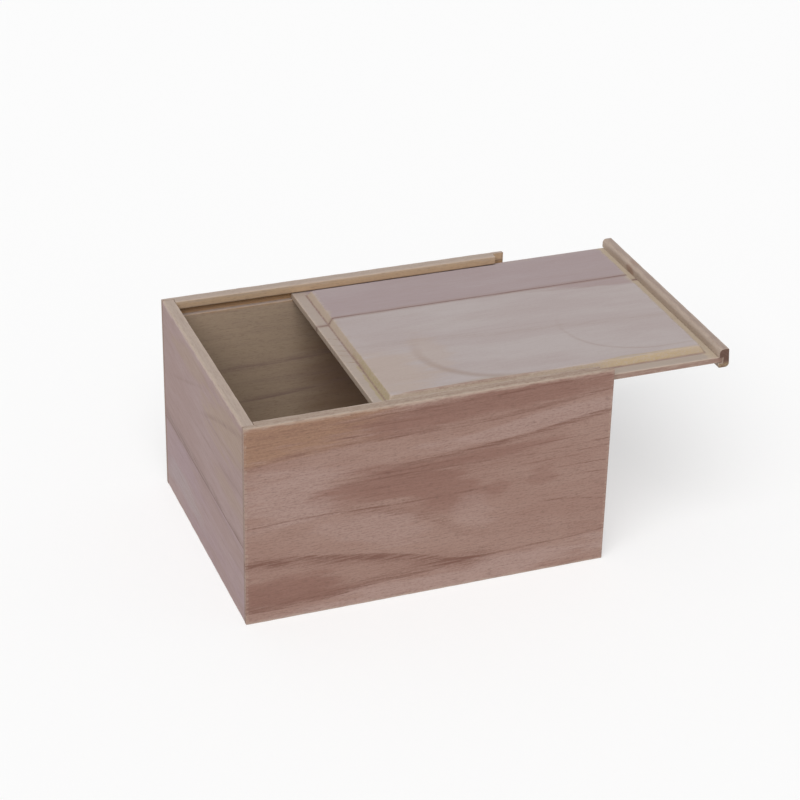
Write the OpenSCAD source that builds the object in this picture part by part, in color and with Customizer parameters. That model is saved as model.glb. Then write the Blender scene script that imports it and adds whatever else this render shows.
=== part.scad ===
// Sliding lid box in bare wood. Two long walls lap over the ends of two end
// walls, and a raised panel lid runs in a groove round three of the walls.
// X runs along the slide towards the open end, -Y is the front, +Z is up.
// The origin is the centre of the box's flat underside.

/* [Box] */
// Length of the box along the slide, outside
box_l = 278; // [200:1:380]
// Width of the box from front face to back face, outside
box_w = 212; // [140:1:300]
// Height of the box from the table to its top edge
box_h = 160; // [100:1:240]
// Thickness of the wall boards
wall_t = 9; // [8:0.5:14]
// Thickness of the bottom board
bottom_t = 5; // [3:0.5:9]
// Radius of the sanded top edges
arris_r = 0.8; // [0.3:0.1:1.2]

/* [Wall joints] */
// Thickness of the lip that a long wall leaves over the end of an end wall
lip_t = 3.7; // [2.5:0.1:4.4]
// Height of the glued seam between the two boards of the left end wall
end_seam_h = 62; // [30:1:80]
// Gap round the bottom board in its rebate
bottom_play = 0.2; // [0.1:0.05:0.5]

/* [Lid groove] */
// Height of wood left above the groove
groove_cover = 6.5; // [5:0.5:10]
// Thickness of wood left behind the groove
groove_back_t = 5.2; // [4.5:0.1:6.5]

/* [Lid] */
// Thickness of the lid in its raised middle
lid_t = 10; // [8:0.5:13]
// Thickness of the thin edge that runs in the groove
tongue_t = 4.7; // [3:0.1:6]
// Width of the flat thin edge, from its rim to the foot of the bevel
tongue_w = 9.3; // [7:0.1:14]
// Width of the bevel between the thin edge and the raised middle
bevel_w = 3; // [1:0.5:6]
// Width of the rear board of the lid, from its rim to the glued seam
rear_board_w = 62; // [30:1:90]
// Gap between the underside of the lid and the floor of the groove
lid_under_play = 0.2; // [0.1:0.1:0.5]
// Gap between the top of the thin edge and the roof of the groove
lid_over_play = 0.8; // [0.3:0.1:1.5]
// Gap between each long rim of the lid and the bed of its groove
lid_side_play = 0.6; // [0.3:0.1:1.5]
// Gap between the inner rim of the closed lid and the bed of its groove
lid_end_play = 0.8; // [0.3:0.1:1.5]

/* [Pull strip] */
// Gap between the closed strip and the shoulder of the rebate that it drops into
strip_shoulder_play = 0.4; // [0.2:0.1:1]
// How much thinner the strip is at its top
strip_lean = 1; // [0:0.1:2]
// How far the strip reaches below the underside of the lid
strip_foot_h = 3.4; // [2:0.1:6]
// Depth of the slot that takes the end of the lid
slot_depth = 3.3; // [2:0.1:4.5]
// Glue gap above and below the lid's end in the slot
slot_play = 0.1; // [0.05:0.05:0.2]
// Radius of the rounded upper edge on the lid's side
strip_top_r = 3; // [1:0.5:3.5]
// Radius of the rounded lower edge on the outside
strip_foot_r = 3; // [1:0.5:3.5]
// How far the top of the strip stays below the top edge of the box
strip_drop = 0.4; // [0:0.1:1]
// Gap between each end of the strip and the lip beside it
strip_end_play = 0.4; // [0.2:0.1:1]
// Gap between the foot of the strip and the top of the right end wall
strip_under_play = 0.8; // [0.4:0.1:2]

/* [Pose] */
// How far the lid stands drawn out of the closed box
lid_out = 95; // [0:1:110]

/* [Hidden] */
// Distance that a cutting block runs past the wood it cuts
past = 1;
// Straight pieces in a quarter round
round_steps = 4;

// Heights of the groove's roof and floor, and of the lid's underside
groove_roof = box_h - groove_cover;
groove_floor = groove_roof - lid_over_play - tongue_t - lid_under_play;
lid_low = groove_floor + lid_under_play;

// Strip: its thickness from the rebate that it drops into, and its length between the lips
strip_foot_t = wall_t - strip_shoulder_play;
strip_top_t = strip_foot_t - strip_lean;
strip_len = box_w - 2 * (lip_t + strip_end_play);
strip_low = lid_low - strip_foot_h;
strip_h = box_h - strip_drop - strip_low;
strip_left = lid_out + box_l / 2 - strip_foot_t;
right_end_h = strip_low - strip_under_play;

// Lid: from the bed of the left groove to the bottom of the strip's slot
lid_w = box_w - 2 * (groove_back_t + lid_side_play);
lid_left = lid_out - box_l / 2 + groove_back_t + lid_end_play;
lid_right = strip_left + slot_depth;
lid_len = lid_right - lid_left;
lid_seam_y = lid_w / 2 - rear_board_w;

// Points of a quarter round about a centre, from one angle to the next 90 degrees
function quarter(centre, radius, start) = [
    for (i = [0 : round_steps])
    centre + radius * [cos(start + 90 * i / round_steps), sin(start + 90 * i / round_steps)]
];

// Cross-section of a wall: across is the distance in from its outer face, up is the height
module wall_section(low, high, rebated, grooved, eased) {
    foot = rebated
        ? [[0, low], [lip_t, low], [lip_t, low + bottom_t], [wall_t, low + bottom_t]]
        : [[0, low], [wall_t, low]];
    groove = grooved
        ? [
            [wall_t, groove_floor], [groove_back_t, groove_floor],
            [groove_back_t, groove_roof], [wall_t, groove_roof]
        ]
        : [];
    top = eased
        ? concat(
            quarter([wall_t - arris_r, high - arris_r], arris_r, 0),
            quarter([arris_r, high - arris_r], arris_r, 90))
        : [[wall_t, high], [0, high]];
    polygon(concat(foot, groove, top));
}

// A section stood up and run along X from the centre, its across axis along +Y
module run_along_x(len) {
    translate([-len / 2, 0, 0]) rotate([90, 0, 90]) linear_extrude(len) children();
}

// A section stood up and run along Y from the centre, its across axis along +X
module run_along_y(len) {
    translate([0, len / 2, 0]) rotate([90, 0, 0]) linear_extrude(len) children();
}

// A long wall at the front, with a rebate at each end for an end wall
module long_wall() {
    difference() {
        translate([0, -box_w / 2, 0]) run_along_x(box_l) wall_section(0, box_h, true, true, true);
        for (side = [-1, 1])
            translate([side * box_l / 2 - wall_t, lip_t - box_w / 2, -past])
                cube([2 * wall_t, wall_t, box_h + 2 * past]);
    }
}

// A length of end wall at the left, between the lips of the long walls
module end_wall(low, high, rebated, grooved, eased) {
    translate([-box_l / 2, 0, 0])
        run_along_y(box_w - 2 * lip_t)
            wall_section(low, high, rebated, grooved, eased);
}

// Outline of the lid seen from one side: a thin edge, a bevel and the raised middle
module lid_section(len) {
    foot_x = len / 2 - tongue_w;
    top_x = foot_x - bevel_w;
    translate([0, lid_low])
        polygon([
            [-len / 2, 0], [len / 2, 0], [len / 2, tongue_t], [foot_x, tongue_t],
            [top_x, lid_t], [-top_x, lid_t], [-foot_x, tongue_t], [-len / 2, tongue_t]
        ]);
}

// The whole raised panel before it is parted along its glued seam
module lid_panel() {
    translate([(lid_left + lid_right) / 2, 0, 0])
        intersection() {
            run_along_x(lid_len) lid_section(lid_w);
            run_along_y(lid_w) lid_section(lid_len);
        }
}

// The stretch of the lid panel between two distances from its middle line
module lid_board(y_low, y_high) {
    intersection() {
        lid_panel();
        translate([lid_left - past, y_low, 0]) cube([lid_len + 2 * past, y_high - y_low, box_h]);
    }
}

module front_panel() {
    color("#9a7668") long_wall();
}

module back_panel() {
    color("#a38f7d") mirror([0, 1, 0]) long_wall();
}

module left_end_upper_board() {
    color("#a58f8b") end_wall(end_seam_h, box_h, false, true, true);
}

module left_end_lower_board() {
    color("#9c8588") end_wall(0, end_seam_h, true, false, false);
}

module right_end_panel() {
    color("#a08a84") mirror([1, 0, 0]) end_wall(0, right_end_h, true, false, true);
}

module bottom_board() {
    inset = lip_t + bottom_play;
    color("#a5907f")
        translate([inset - box_l / 2, inset - box_w / 2, 0])
            cube([box_l - 2 * inset, box_w - 2 * inset, bottom_t - bottom_play]);
}

module lid_front_board() {
    color("#b0a5a2") lid_board(-lid_w / 2 - past, lid_seam_y);
}

module lid_rear_board() {
    color("#a59697") lid_board(lid_seam_y, lid_w / 2 + past);
}

module lid_pull_strip() {
    slot_low = lid_low - slot_play - strip_low;
    slot_high = lid_low + tongue_t + slot_play - strip_low;
    color("#9b887a")
        translate([strip_left, 0, strip_low])
            run_along_y(strip_len)
                polygon(concat(
                    [[0, 0]],
                    quarter([strip_foot_t - strip_foot_r, strip_foot_r], strip_foot_r, -90),
                    [[strip_top_t, strip_h]],
                    quarter([strip_top_r, strip_h - strip_top_r], strip_top_r, 90),
                    [[0, slot_high], [slot_depth, slot_high], [slot_depth, slot_low], [0, slot_low]]
                ));
}

front_panel();
back_panel();
left_end_upper_board();
left_end_lower_board();
right_end_panel();
bottom_board();
lid_front_board();
lid_rear_board();
lid_pull_strip();
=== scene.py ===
"""Looks of a sliding lid box in bare wood: each board as a modelled and finished piece of planed timber.

Every board is a closed surface worked out with numpy, with sanded arrises and hairline joints. It carries
the wood's own coordinates: grain holds the distance along the fibres, across them and into the board, and
ring holds the distance from the pith of the tree. Its material draws growth rings, fibres, pores, grain
lines, end grain and worn edges from them. Sizes are in metres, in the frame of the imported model.
"""

import math

import bmesh
import bpy
import numpy as np
from mathutils import Matrix, Vector


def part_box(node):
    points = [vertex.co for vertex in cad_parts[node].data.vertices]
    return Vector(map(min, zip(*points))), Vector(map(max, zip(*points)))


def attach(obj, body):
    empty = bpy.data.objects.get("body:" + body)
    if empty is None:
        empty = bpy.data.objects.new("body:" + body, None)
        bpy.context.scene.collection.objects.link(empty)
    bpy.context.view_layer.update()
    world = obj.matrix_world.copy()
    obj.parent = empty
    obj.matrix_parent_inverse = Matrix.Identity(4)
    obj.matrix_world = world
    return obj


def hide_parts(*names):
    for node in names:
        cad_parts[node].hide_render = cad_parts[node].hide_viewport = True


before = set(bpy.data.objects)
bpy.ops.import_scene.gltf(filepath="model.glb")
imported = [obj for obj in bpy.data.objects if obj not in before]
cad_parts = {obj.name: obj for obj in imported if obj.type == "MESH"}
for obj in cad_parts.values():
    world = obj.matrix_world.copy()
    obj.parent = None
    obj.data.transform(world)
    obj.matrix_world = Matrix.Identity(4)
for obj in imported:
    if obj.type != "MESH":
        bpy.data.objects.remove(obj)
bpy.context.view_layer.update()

bl_info = {
    "name": "Sliding Lid Box",
    "version": (1, 0, 0),
    "blender": (4, 5, 0),
    "location": "3D View > Sidebar > Wooden Box",
    "description": "Builds the boards of a sliding lid box in bare wood, and the stage it stands on",
    "category": "Add Mesh",
}

MM = 0.001
X, Y, Z = (1.0, 0.0, 0.0), (0.0, 1.0, 0.0), (0.0, 0.0, 1.0)
MINUS_Y, MINUS_Z = (0.0, -1.0, 0.0), (0.0, 0.0, -1.0)
WALL_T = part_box("front_panel")[1].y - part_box("front_panel")[0].y

# Points in a rounded edge, and distances from an edge at which a flat gets extra points, up to a share of it
ARC_STEPS = 6
EDGE_STEPS = np.array([0.3, 0.9, 1.8, 3.0]) * MM
EDGE_SHARE = 0.4

# How far rubbed wood reaches from an edge, and a dark line from a joint and from the lid's glued seam
WORN_REACH, JOINT_REACH, SEAM_REACH = 3.2 * MM, 0.9 * MM, 2.9 * MM

# Radii of the small edges: bevel, rim, groove, lip, strip and slot, and how far the bevel's profile goes on
BEVEL_TOP, BEVEL_FOOT, RIM_TOP, RIM_FOOT = 1.8 * MM, 0.7 * MM, 0.5 * MM, 0.4 * MM
GROOVE_EDGE, LIP_EDGE, STRIP_FOOT, STRIP_TOP, SLOT_EDGE = 0.4 * MM, 0.3 * MM, 0.4 * MM, 0.6 * MM, 0.3 * MM
STRIP_END, PAST_BEVEL = 0.3 * MM, 2.5 * MM

# Where a shoulder is cut back, points this near its top whose normals rise this much face straight up
SHOULDER_BAND, FACES_UP = 0.6 * MM, 0.7

# Lengths of the waves that make a line or an edge look cut by hand
WAVES = np.array([71.0, 37.0, 19.0, 11.0]) * MM

MERGE_DISTANCE = 0.004 * MM
SHARP_ANGLE = math.radians(50)
LID_SHARP_ANGLE = math.radians(80)

# Patches of each pattern in a metre, along the fibres, across them and into the board
SILK, DASHES, MOTTLE, PORES = (45, 900, 900), (34, 700, 700), (430, 800, 800), (190, 1200, 1200)
RUBBING, WANDER, RAGGED = (90, 420, 420), (6, 28, 28), (14, 110, 110)
CLOUDS, GRIT = (8, 30, 30), (420, 600, 600)

# Changes of the growth rings in a metre along the fibres, depth of the relief, and how wood bends light
RING_CHANGES = 4.0
RELIEF = 0.12 * MM
WOOD_IOR = 1.45

# How far growth rings, arcs and grain lines stray from their places
RINGS_STRAY, ARCS_STRAY, LINES_STRAY = 8 * MM, 9 * MM, 1.2 * MM

# Span of the curves that draw grain lines, in millimetres along and across, and lengths of fading
LONGEST, HIGHEST = 300, 200
LINE_FADE = 25
ARC_FADE = 60 * MM

# Layers that cover a board's face, in order, and lengths that describe each kind of mark
COVERING = ("Inner", "Edge", "Side", "End")
LINE_LENGTHS = ("Below", "Above", "From", "To", "Fade")
PATCH_LENGTHS = ("Middle along", "Middle across", "Half length", "Half width")
ARC_LENGTHS = ("Middle along", "Middle across", "Reach", "Half width", "Thickness", "To")

# Floor, in metres from its middle and points a side, and the camera's sensor in millimetres and its range
FLOOR_REACH, FLOOR_POINTS = 8, 9
SENSOR_WIDTH = 36
NEAREST, FARTHEST = 0.05, 40


# Shapes


def flat_steps(length, pitch):
    """Distances along a flat: close together near both ends, and at most a pitch apart between them."""
    near = EDGE_STEPS[EDGE_STEPS < EDGE_SHARE * length]
    if not len(near):
        near = np.array([length / 4])
    count = 2 + math.floor((length - 2 * near[-1]) / pitch)
    middle = np.linspace(near[-1], length - near[-1], count)[1:-1]
    return np.concatenate([near, middle, (length - near)[::-1]])


def fading(distance, reach):
    """Share of an edge's wear or darkness at a distance: (1 - distance / reach) squared, down to 0."""
    return np.clip(1 - np.asarray(distance) / reach, 0, 1) ** 2


def rounded_path(corners, pitch, closed=True):
    """Outline through corners given as (across, up, radius, kind), with each corner rounded.

    A corner's arc is start + s r (n - n0): n0 is the normal of the edge before the corner, n turns from
    it to the normal of the edge after, and s is +1 where the outline turns left and -1 where it turns
    right. A kind above 0 is a worn edge, and one below 0 is an edge that meets another board.
    Returns places, outward normals, and for each point how worn and how much of a joint it is.
    """
    corners = np.asarray(corners, float)
    place, radius, kind = corners[:, :2], corners[:, 2], corners[:, 3]
    edge = np.roll(place, -1, axis=0) - place
    length = np.linalg.norm(edge, axis=1)
    along = edge / length[:, None]
    before = np.roll(along, 1, axis=0)
    rise = before[:, 0] * along[:, 1] - before[:, 1] * along[:, 0]
    turn = np.arctan2(rise, (before * along).sum(axis=1))
    if not closed:
        turn[[0, -1]] = 0
    reach = radius * np.tan(np.abs(turn) / 2)
    worn_kind, joint_kind = np.maximum(kind, 0), np.maximum(-kind, 0)
    places, normals, worn, joint = [], [], [], []
    for i in range(len(corners)):
        direction = before[i] if closed or i > 0 else along[0]
        first = np.array([direction[1], -direction[0]])
        angle = np.linspace(0, turn[i], ARC_STEPS + 1 if turn[i] else 1)[:, None]
        normal = first * np.cos(angle) + direction * np.sin(angle)
        start = place[i] - direction * reach[i]
        places.append(start + np.sign(turn[i]) * radius[i] * (normal - first))
        normals.append(normal)
        worn.append(np.full(len(angle), worn_kind[i]))
        joint.append(np.full(len(angle), joint_kind[i]))
        if not closed and i == len(corners) - 1:
            break
        after = (i + 1) % len(corners)
        flat = length[i] - reach[i] - reach[after]
        steps = flat_steps(flat, pitch)
        places.append(place[i] + along[i] * (reach[i] + steps)[:, None])
        normals.append(np.tile([along[i][1], -along[i][0]], (len(steps), 1)))
        for shares, kinds, reaches in ((worn, worn_kind, WORN_REACH), (joint, joint_kind, JOINT_REACH)):
            from_start = kinds[i] * fading(steps, reaches)
            shares.append(np.maximum(from_start, kinds[after] * fading(flat - steps, reaches)))
    return tuple(np.concatenate(parts) for parts in (places, normals, worn, joint))


def ripple(along, seed):
    """A slow random-looking wave from -1 to 1: the mean of four sines with unrelated lengths and phases."""
    phases = seed * np.array([1.7, 2.9, 4.3, 5.9])
    return np.sin(2 * np.pi * np.asarray(along)[..., None] / WAVES + phases).mean(axis=-1)


def grid_faces(rows, columns, wrap):
    """Quads between neighbouring points of a grid, whose last column may join the first."""
    row = np.arange(rows - 1)[:, None]
    column = np.arange(columns if wrap else columns - 1)[None, :]
    after = (column + 1) % columns
    corners = [row * columns + column, row * columns + after]
    corners += [(row + 1) * columns + after, (row + 1) * columns + column]
    return np.stack(corners, axis=-1).reshape(-1, 4)


def carried_board(outline, length, end_radius, end_kind, wear, seed, pitch, shoulder=None):
    """Surface of a board: an outline carried along its length and closed at both ends.

    Near an end a point moves in against its normal by r (1 - cos a) and stops r (1 - sin a) short of the
    end, as a goes from 0 to 90 degrees, which rounds the end's edge with that point's own radius r. The
    flat end itself is neither worn nor a joint, so that its end grain shows. Elsewhere, worn points sink by
    up to wear instead where that is more, in a slow wave along the length. Neither is more than the
    outline's own radius at an outward corner, so that it never crosses itself. A shoulder is a pair of
    distances: within the first of an end, the outline is cut back to the second, across.
    Returns points as (along, across, up), faces, and each point's worn and joint shares.
    """
    places, normals, worn, joint = outline
    radius = np.broadcast_to(end_radius, len(places))
    end_kind = np.broadcast_to(np.asarray(end_kind, float), len(places))
    half = length / 2
    inner = half - radius.max()
    stations = flat_steps(2 * inner, pitch) - inner
    cut = np.zeros(len(stations), bool)
    if shoulder:
        step = half - shoulder[0]
        cut = np.concatenate([np.abs(stations) > step, [True, False, False, True]])
        stations = np.concatenate([stations, [-step, -step, step, step]])
        order = np.lexsort((np.where(stations < 0, ~cut, cut), stations))
        stations, cut = stations[order], cut[order]
    angles = np.linspace(0, math.pi / 2, ARC_STEPS)
    rows_along = np.concatenate([np.full(ARC_STEPS, -half), stations, np.full(ARC_STEPS, half)])[:, None]
    turn = np.concatenate([angles[::-1], np.zeros(len(stations)), angles])[:, None]
    at_end = np.abs(rows_along) >= half
    ends_cut = np.full(ARC_STEPS, shoulder is not None)
    cut = np.concatenate([ends_cut, cut, ends_cut])[:, None]

    along = rows_along - np.sign(rows_along) * at_end * radius * (1 - np.sin(turn))
    across, up = (np.broadcast_to(places[:, k], along.shape).copy() for k in (0, 1))
    normal_a, normal_u = (np.broadcast_to(normals[:, k], along.shape).copy() for k in (0, 1))
    worn, joint = (np.broadcast_to(part, along.shape).copy() for part in (worn, joint))
    if shoulder:
        clipped = cut & (across > shoulder[1])
        across[clipped] = shoulder[1]
        flush = clipped & (up > places[:, 1].max() - SHOULDER_BAND) & (normal_u > FACES_UP)
        normal_a[clipped] = ~flush[clipped]
        normal_u[clipped] = flush[clipped]
        worn[clipped] = 0
    sink = np.maximum(radius * (1 - np.cos(turn)), wear * worn * (0.5 + 0.5 * ripple(along, seed)))
    points = np.stack([along, across - normal_a * sink, up - normal_u * sink], axis=-1).reshape(-1, 3)
    rounding = np.sin(turn) * at_end
    from_end = np.maximum(inner - np.abs(rows_along), 0)
    worn_end, joint_end = (
        np.maximum(kind, 0) * np.where(at_end, rounding, fading(from_end, reach))
        for kind, reach in ((end_kind, WORN_REACH), (-end_kind, JOINT_REACH))
    )
    worn, joint = np.maximum(worn, worn_end), np.maximum(joint, joint_end)
    worn[[0, -1]] = joint[[0, -1]] = 0
    rows, columns = along.shape
    faces = grid_faces(rows, columns, True).tolist()
    faces += [list(range(columns)), list(range((rows - 1) * columns, rows * columns))]
    return points, faces, worn.ravel(), joint.ravel()


def eased_corner(a, b, radius):
    """Places near a square corner, moved onto round ones, by their distances a and b from its two sides.

    With m the smaller distance, the corner's remaining radius is r = radius - m. A place e from the
    corner's diagonal, as a share of r, goes to an angle of 45 degrees times (1 - e) on a circle of radius
    r, which is r (1 - sin) along one side and r (1 - cos) in from the other.
    """
    near, far = np.minimum(a, b), np.maximum(a, b)
    rest = np.maximum(radius - near, 1e-9)
    share = np.clip((far - near) / rest, 0, 1)
    angle = math.pi / 4 * (1 - share)
    moved = share < 1
    new_far = np.where(moved, near + rest * (1 - np.sin(angle)), far)
    new_near = np.where(moved, near + rest * (1 - np.cos(angle)), near)
    return np.where(a <= b, new_near, new_far), np.where(a <= b, new_far, new_near)


def raised_board(low, high, rims, profile, shape, pitch):
    """Surface of a raised lid board: a profile of (distance in, height) carried round its three free sides.

    At a place (u, v) of the board, both from 0 to 1, x goes from the left rim to the right one with u and
    y from the front rim to the back one with v. The profile moves each rim in by its distance, and a side
    that is glued to another board only by a hairline where the wood faces up. Points above the flat edge
    also wander by a slow wave, as a bevel cut by hand does, and their corners are eased. Rows round the
    free sides make the moulded edge, whole grids of u and v close the top and the bottom, and upright
    quads with the profile at both ends close the glued side.
    rims tells which of the left, right, front and back sides are free, and shape holds the lid's sizes.
    """
    places, normals, worn, joint = profile
    size = [high[k] - low[k] for k in (0, 1)]
    u, v = (np.concatenate([[0], flat_steps(length, pitch) / length, [1]]) for length in size)
    turns = len(places)
    seam = shape.seam * np.clip(normals[:, 1], 0, 1)
    lift = np.clip((places[:, 1] - shape.edge_height) / MM, 0, 1)
    on_top = lift > 0
    ease = shape.corner * lift

    def place(turn, u, v):
        """Places of points of the profile at (u, v)."""

        def inset(side, t, length):
            """Distance in from a side at a share t of its length."""
            wave = np.sin(np.pi * t) * ripple(t * length, side + 1)
            free = places[turn, 0] + shape.wander * on_top[turn] * wave
            return free if rims[side] else np.broadcast_to(seam[turn], free.shape)

        left, right = low[0] + inset(0, v, size[1]), high[0] - inset(1, v, size[1])
        front, back = low[1] + inset(2, u, size[0]), high[1] - inset(3, u, size[0])
        x, y = left + (right - left) * u, front + (back - front) * v
        for free_x, edge_x, sign_x in ((rims[0], left, 1), (rims[1], right, -1)):
            for free_y, edge_y, sign_y in ((rims[2], front, 1), (rims[3], back, -1)):
                if free_x and free_y:
                    a, b = eased_corner(sign_x * (x - edge_x), sign_y * (y - edge_y), ease[turn])
                    x, y = edge_x + sign_x * a, edge_y + sign_y * b
        return np.stack([x, y, np.broadcast_to(low[2] + places[turn, 1], x.shape)], axis=-1)

    def seam_share(v):
        """How dark the line along the glued side is at v."""
        return fading(size[1] * (1 - v if rims[2] else v), SEAM_REACH)

    glued_v = 0.0 if rims[3] else 1.0
    from_seam = v[::-1] if glued_v else v
    ring_u = np.concatenate([np.zeros(len(v) - 1), u, np.ones(len(v) - 1)])
    ring_v = np.concatenate([from_seam[:-1], np.full(len(u), 1 - glued_v), from_seam[::-1][1:]])
    turn = np.arange(turns)[:, None]
    points = [place(turn, ring_u[None, :], ring_v[None, :]).reshape(-1, 3)]
    faces = [grid_faces(turns, len(ring_u), False)]
    worn_parts = [np.repeat(worn, len(ring_u))]
    joint_parts = [np.maximum(joint[:, None], seam_share(ring_v)[None, :]).ravel()]
    cap_u, cap_v = np.meshgrid(u, v)
    seam_rows = []
    for turn in (0, turns - 1):
        start = sum(len(part) for part in points)
        faces.append(start + grid_faces(len(v), len(u), False))
        seam_rows.append(start + np.arange(cap_u.size).reshape(cap_u.shape)[-1 if glued_v else 0])
        points.append(place(turn, cap_u, cap_v).reshape(-1, 3))
        worn_parts.append(np.zeros(cap_u.size))
        joint_parts.append(seam_share(cap_v).ravel())
    top, bottom = seam_rows
    faces.append(np.stack([top[:-1], top[1:], bottom[1:], bottom[:-1]], axis=-1))
    faces = np.concatenate(faces).tolist()
    first_column = np.arange(turns) * len(ring_u)
    faces += [first_column.tolist(), (first_column + len(ring_u) - 1).tolist()]
    points, worn, joint = (np.concatenate(part) for part in (points, worn_parts, joint_parts))
    return points, faces, worn, joint


def level_in_tree(wood, in_tree):
    """Distance of each point of a board from the pith of the tree it was sawn from.

    The pith is a straight line beside the board: at a distance along, it passes at the height heart and
    lies as deep as cover. Rings are circles round it, so the level is the square root of (across - heart)
    squared plus (cover + depth) squared. Where the rings lean, across first loses lean times along, by a
    share that goes smoothly from 0 at lean_from to 1 at lean_to.
    """
    along, across, depth = wood.T
    lean_from, lean_to = in_tree["lean_from"], in_tree["lean_to"]
    share = np.clip((across - lean_from) / (lean_to - lean_from), 0, 1)
    leaning = across - in_tree["lean"] * along * share * share * (3 - 2 * share)
    heart, cover = (in_tree[key][0] + in_tree[key][1] * along for key in ("heart", "cover"))
    return np.hypot(leaning - heart, cover + depth)


def sawn(heart, cover, lean=0.0, lean_from=0.0, lean_to=1.0):
    """How a board lies in the tree, with lengths in millimetres and slopes as plain ratios."""
    return {
        "heart": (heart[0] * MM, heart[1]), "cover": (cover[0] * MM, cover[1]),
        "lean": lean, "lean_from": lean_from * MM, "lean_to": lean_to * MM,
    }


def finished_piece(name, node, surface, axes, in_tree, material, body="box", sharp=SHARP_ANGLE):
    """Makes the object of a board: merges its points, turns its faces outwards and gives it its wood.

    axes gives, for the distances along the fibres, across them and into the board, the frame's axis, its
    sign and the place that it starts from.
    """
    points, faces, worn, joint = surface
    mesh = bpy.data.meshes.new(name)
    mesh.from_pydata(points, [], faces)
    for label, values in (("worn", worn), ("joint", joint)):
        mesh.attributes.new(label, "FLOAT", "POINT").data.foreach_set("value", values.astype(np.float32))
    cleaned = bmesh.new()
    cleaned.from_mesh(mesh)
    bmesh.ops.remove_doubles(cleaned, verts=cleaned.verts, dist=MERGE_DISTANCE)
    bmesh.ops.dissolve_degenerate(cleaned, edges=cleaned.edges, dist=MERGE_DISTANCE)
    flat_ends = [face for face in cleaned.faces if len(face.verts) > 4]
    bmesh.ops.triangulate(cleaned, faces=flat_ends, ngon_method="BEAUTY")
    bmesh.ops.recalc_face_normals(cleaned, faces=cleaned.faces)
    cleaned.to_mesh(mesh)
    cleaned.free()
    place = np.empty(3 * len(mesh.vertices), np.float32)
    mesh.vertices.foreach_get("co", place)
    place = place.reshape(-1, 3).astype(float)
    wood = np.stack([sign * (place[:, axis] - start) for axis, sign, start in axes], axis=-1)
    grain = mesh.attributes.new("grain", "FLOAT_VECTOR", "POINT")
    grain.data.foreach_set("vector", wood.astype(np.float32).ravel())
    ring = mesh.attributes.new("ring", "FLOAT", "POINT")
    ring.data.foreach_set("value", level_in_tree(wood, in_tree).astype(np.float32))
    mesh.shade_smooth()
    mesh.set_sharp_from_angle(angle=sharp)
    mesh.materials.append(material)
    piece = bpy.data.objects.new(name, mesh)
    bpy.context.scene.collection.objects.link(piece)
    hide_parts(node)
    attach(piece, body)


# Finishes


class Signal:
    """A number, vector or colour in a tree of nodes. Arithmetic on it adds Math nodes to that tree."""

    def __init__(self, socket):
        self.socket = socket
        self.tree = socket.id_data

    def to(self, socket):
        """Plugs this signal into a socket."""
        self.tree.links.new(self.socket, socket)

    def math(self, operation, *others, clamp=False):
        """Result of a Math node on this signal and other signals or numbers."""
        values = dict(enumerate((self, *others)))
        return put(self.tree, "Math", values, operation=operation, use_clamp=clamp)

    def __add__(self, other):
        return self.math("ADD", other)

    def __sub__(self, other):
        return self.math("SUBTRACT", other)

    def __mul__(self, other):
        return self.math("MULTIPLY", other)

    def __truediv__(self, other):
        return self.math("DIVIDE", other)

    def eased(self, low, high, to_low=0.0, to_high=1.0):
        """Value eased from to_low to to_high while this signal goes from low to high."""
        inputs = {"Value": self, "From Min": low, "From Max": high, "To Min": to_low, "To Max": to_high}
        return put(self.tree, "MapRange", inputs, "Result", interpolation_type="SMOOTHSTEP")

    def mixed(self, one, two):
        """Colour between two others. A Mix node's colours are its inputs 6 and 7 and its output 2."""
        return put(self.tree, "Mix", {"Factor": self, 6: one, 7: two}, 2, data_type="RGBA")

    def speckle(self, stretch, detail=3.0, roughness=0.55):
        """Noise from 0 to 1 over this vector in metres, with stretch patches a metre in each direction."""
        scaled = put(self.tree, "VectorMath", {0: self, 1: stretch}, operation="MULTIPLY")
        inputs = {"Vector": scaled, "Scale": 1.0, "Detail": detail, "Roughness": roughness}
        return put(self.tree, "TexNoise", inputs, "Fac")


def put(tree, kind, values=None, output=0, **settings):
    """Adds a node, plugs or writes each value into the input of that name or number, and gives one output."""
    made = tree.nodes.new("ShaderNode" + kind)
    for key, value in settings.items():
        setattr(made, key, value)
    for key, value in (values or {}).items():
        if isinstance(value, Signal):
            value.to(made.inputs[key])
        else:
            made.inputs[key].default_value = value
    return Signal(made.outputs[output])


def use(tree, group, values):
    """Adds one of this file's own node groups, and gives its first output."""
    return put(tree, "Group", values, node_tree=bpy.data.node_groups[group])


def new_group(name, inputs, outputs):
    """Starts a node group with sockets of these kinds and labels. Gives its inputs and its output node's."""
    tree = bpy.data.node_groups.new(name, "ShaderNodeTree")
    for in_out, sockets in (("INPUT", inputs), ("OUTPUT", outputs)):
        for kind, labels in sockets.items():
            for label in labels:
                tree.interface.new_socket(label, in_out=in_out, socket_type="NodeSocket" + kind)
    given, results = tree.nodes.new("NodeGroupInput").outputs, tree.nodes.new("NodeGroupOutput").inputs
    return {socket.name: Signal(socket) for socket in given if socket.name}, results


def mark_group(name, lengths, *others):
    """Starts the node group of one kind of mark. Gives its inputs, and the socket for the mark's amount."""
    given, results = new_group(name, {"Float": ("Along", "Across", *lengths, *others)}, {"Float": ["Amount"]})
    return given.values(), results["Amount"]


def line_group():
    """One grain line: it fades off below and above its height, and in and out along the grain."""
    given, result = mark_group("grain_line", LINE_LENGTHS, "Strength", "Height")
    along, across, below, above, start, end, fade, strength, height = given
    away = across - height
    band = (away / above).math("MAXIMUM", away / (below * -1.0)).eased(1.0, 0.0)
    length = (along - start).math("DIVIDE", fade, clamp=True) * (end - along).math("DIVIDE", fade, clamp=True)
    (band * length * strength).to(result)


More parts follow.
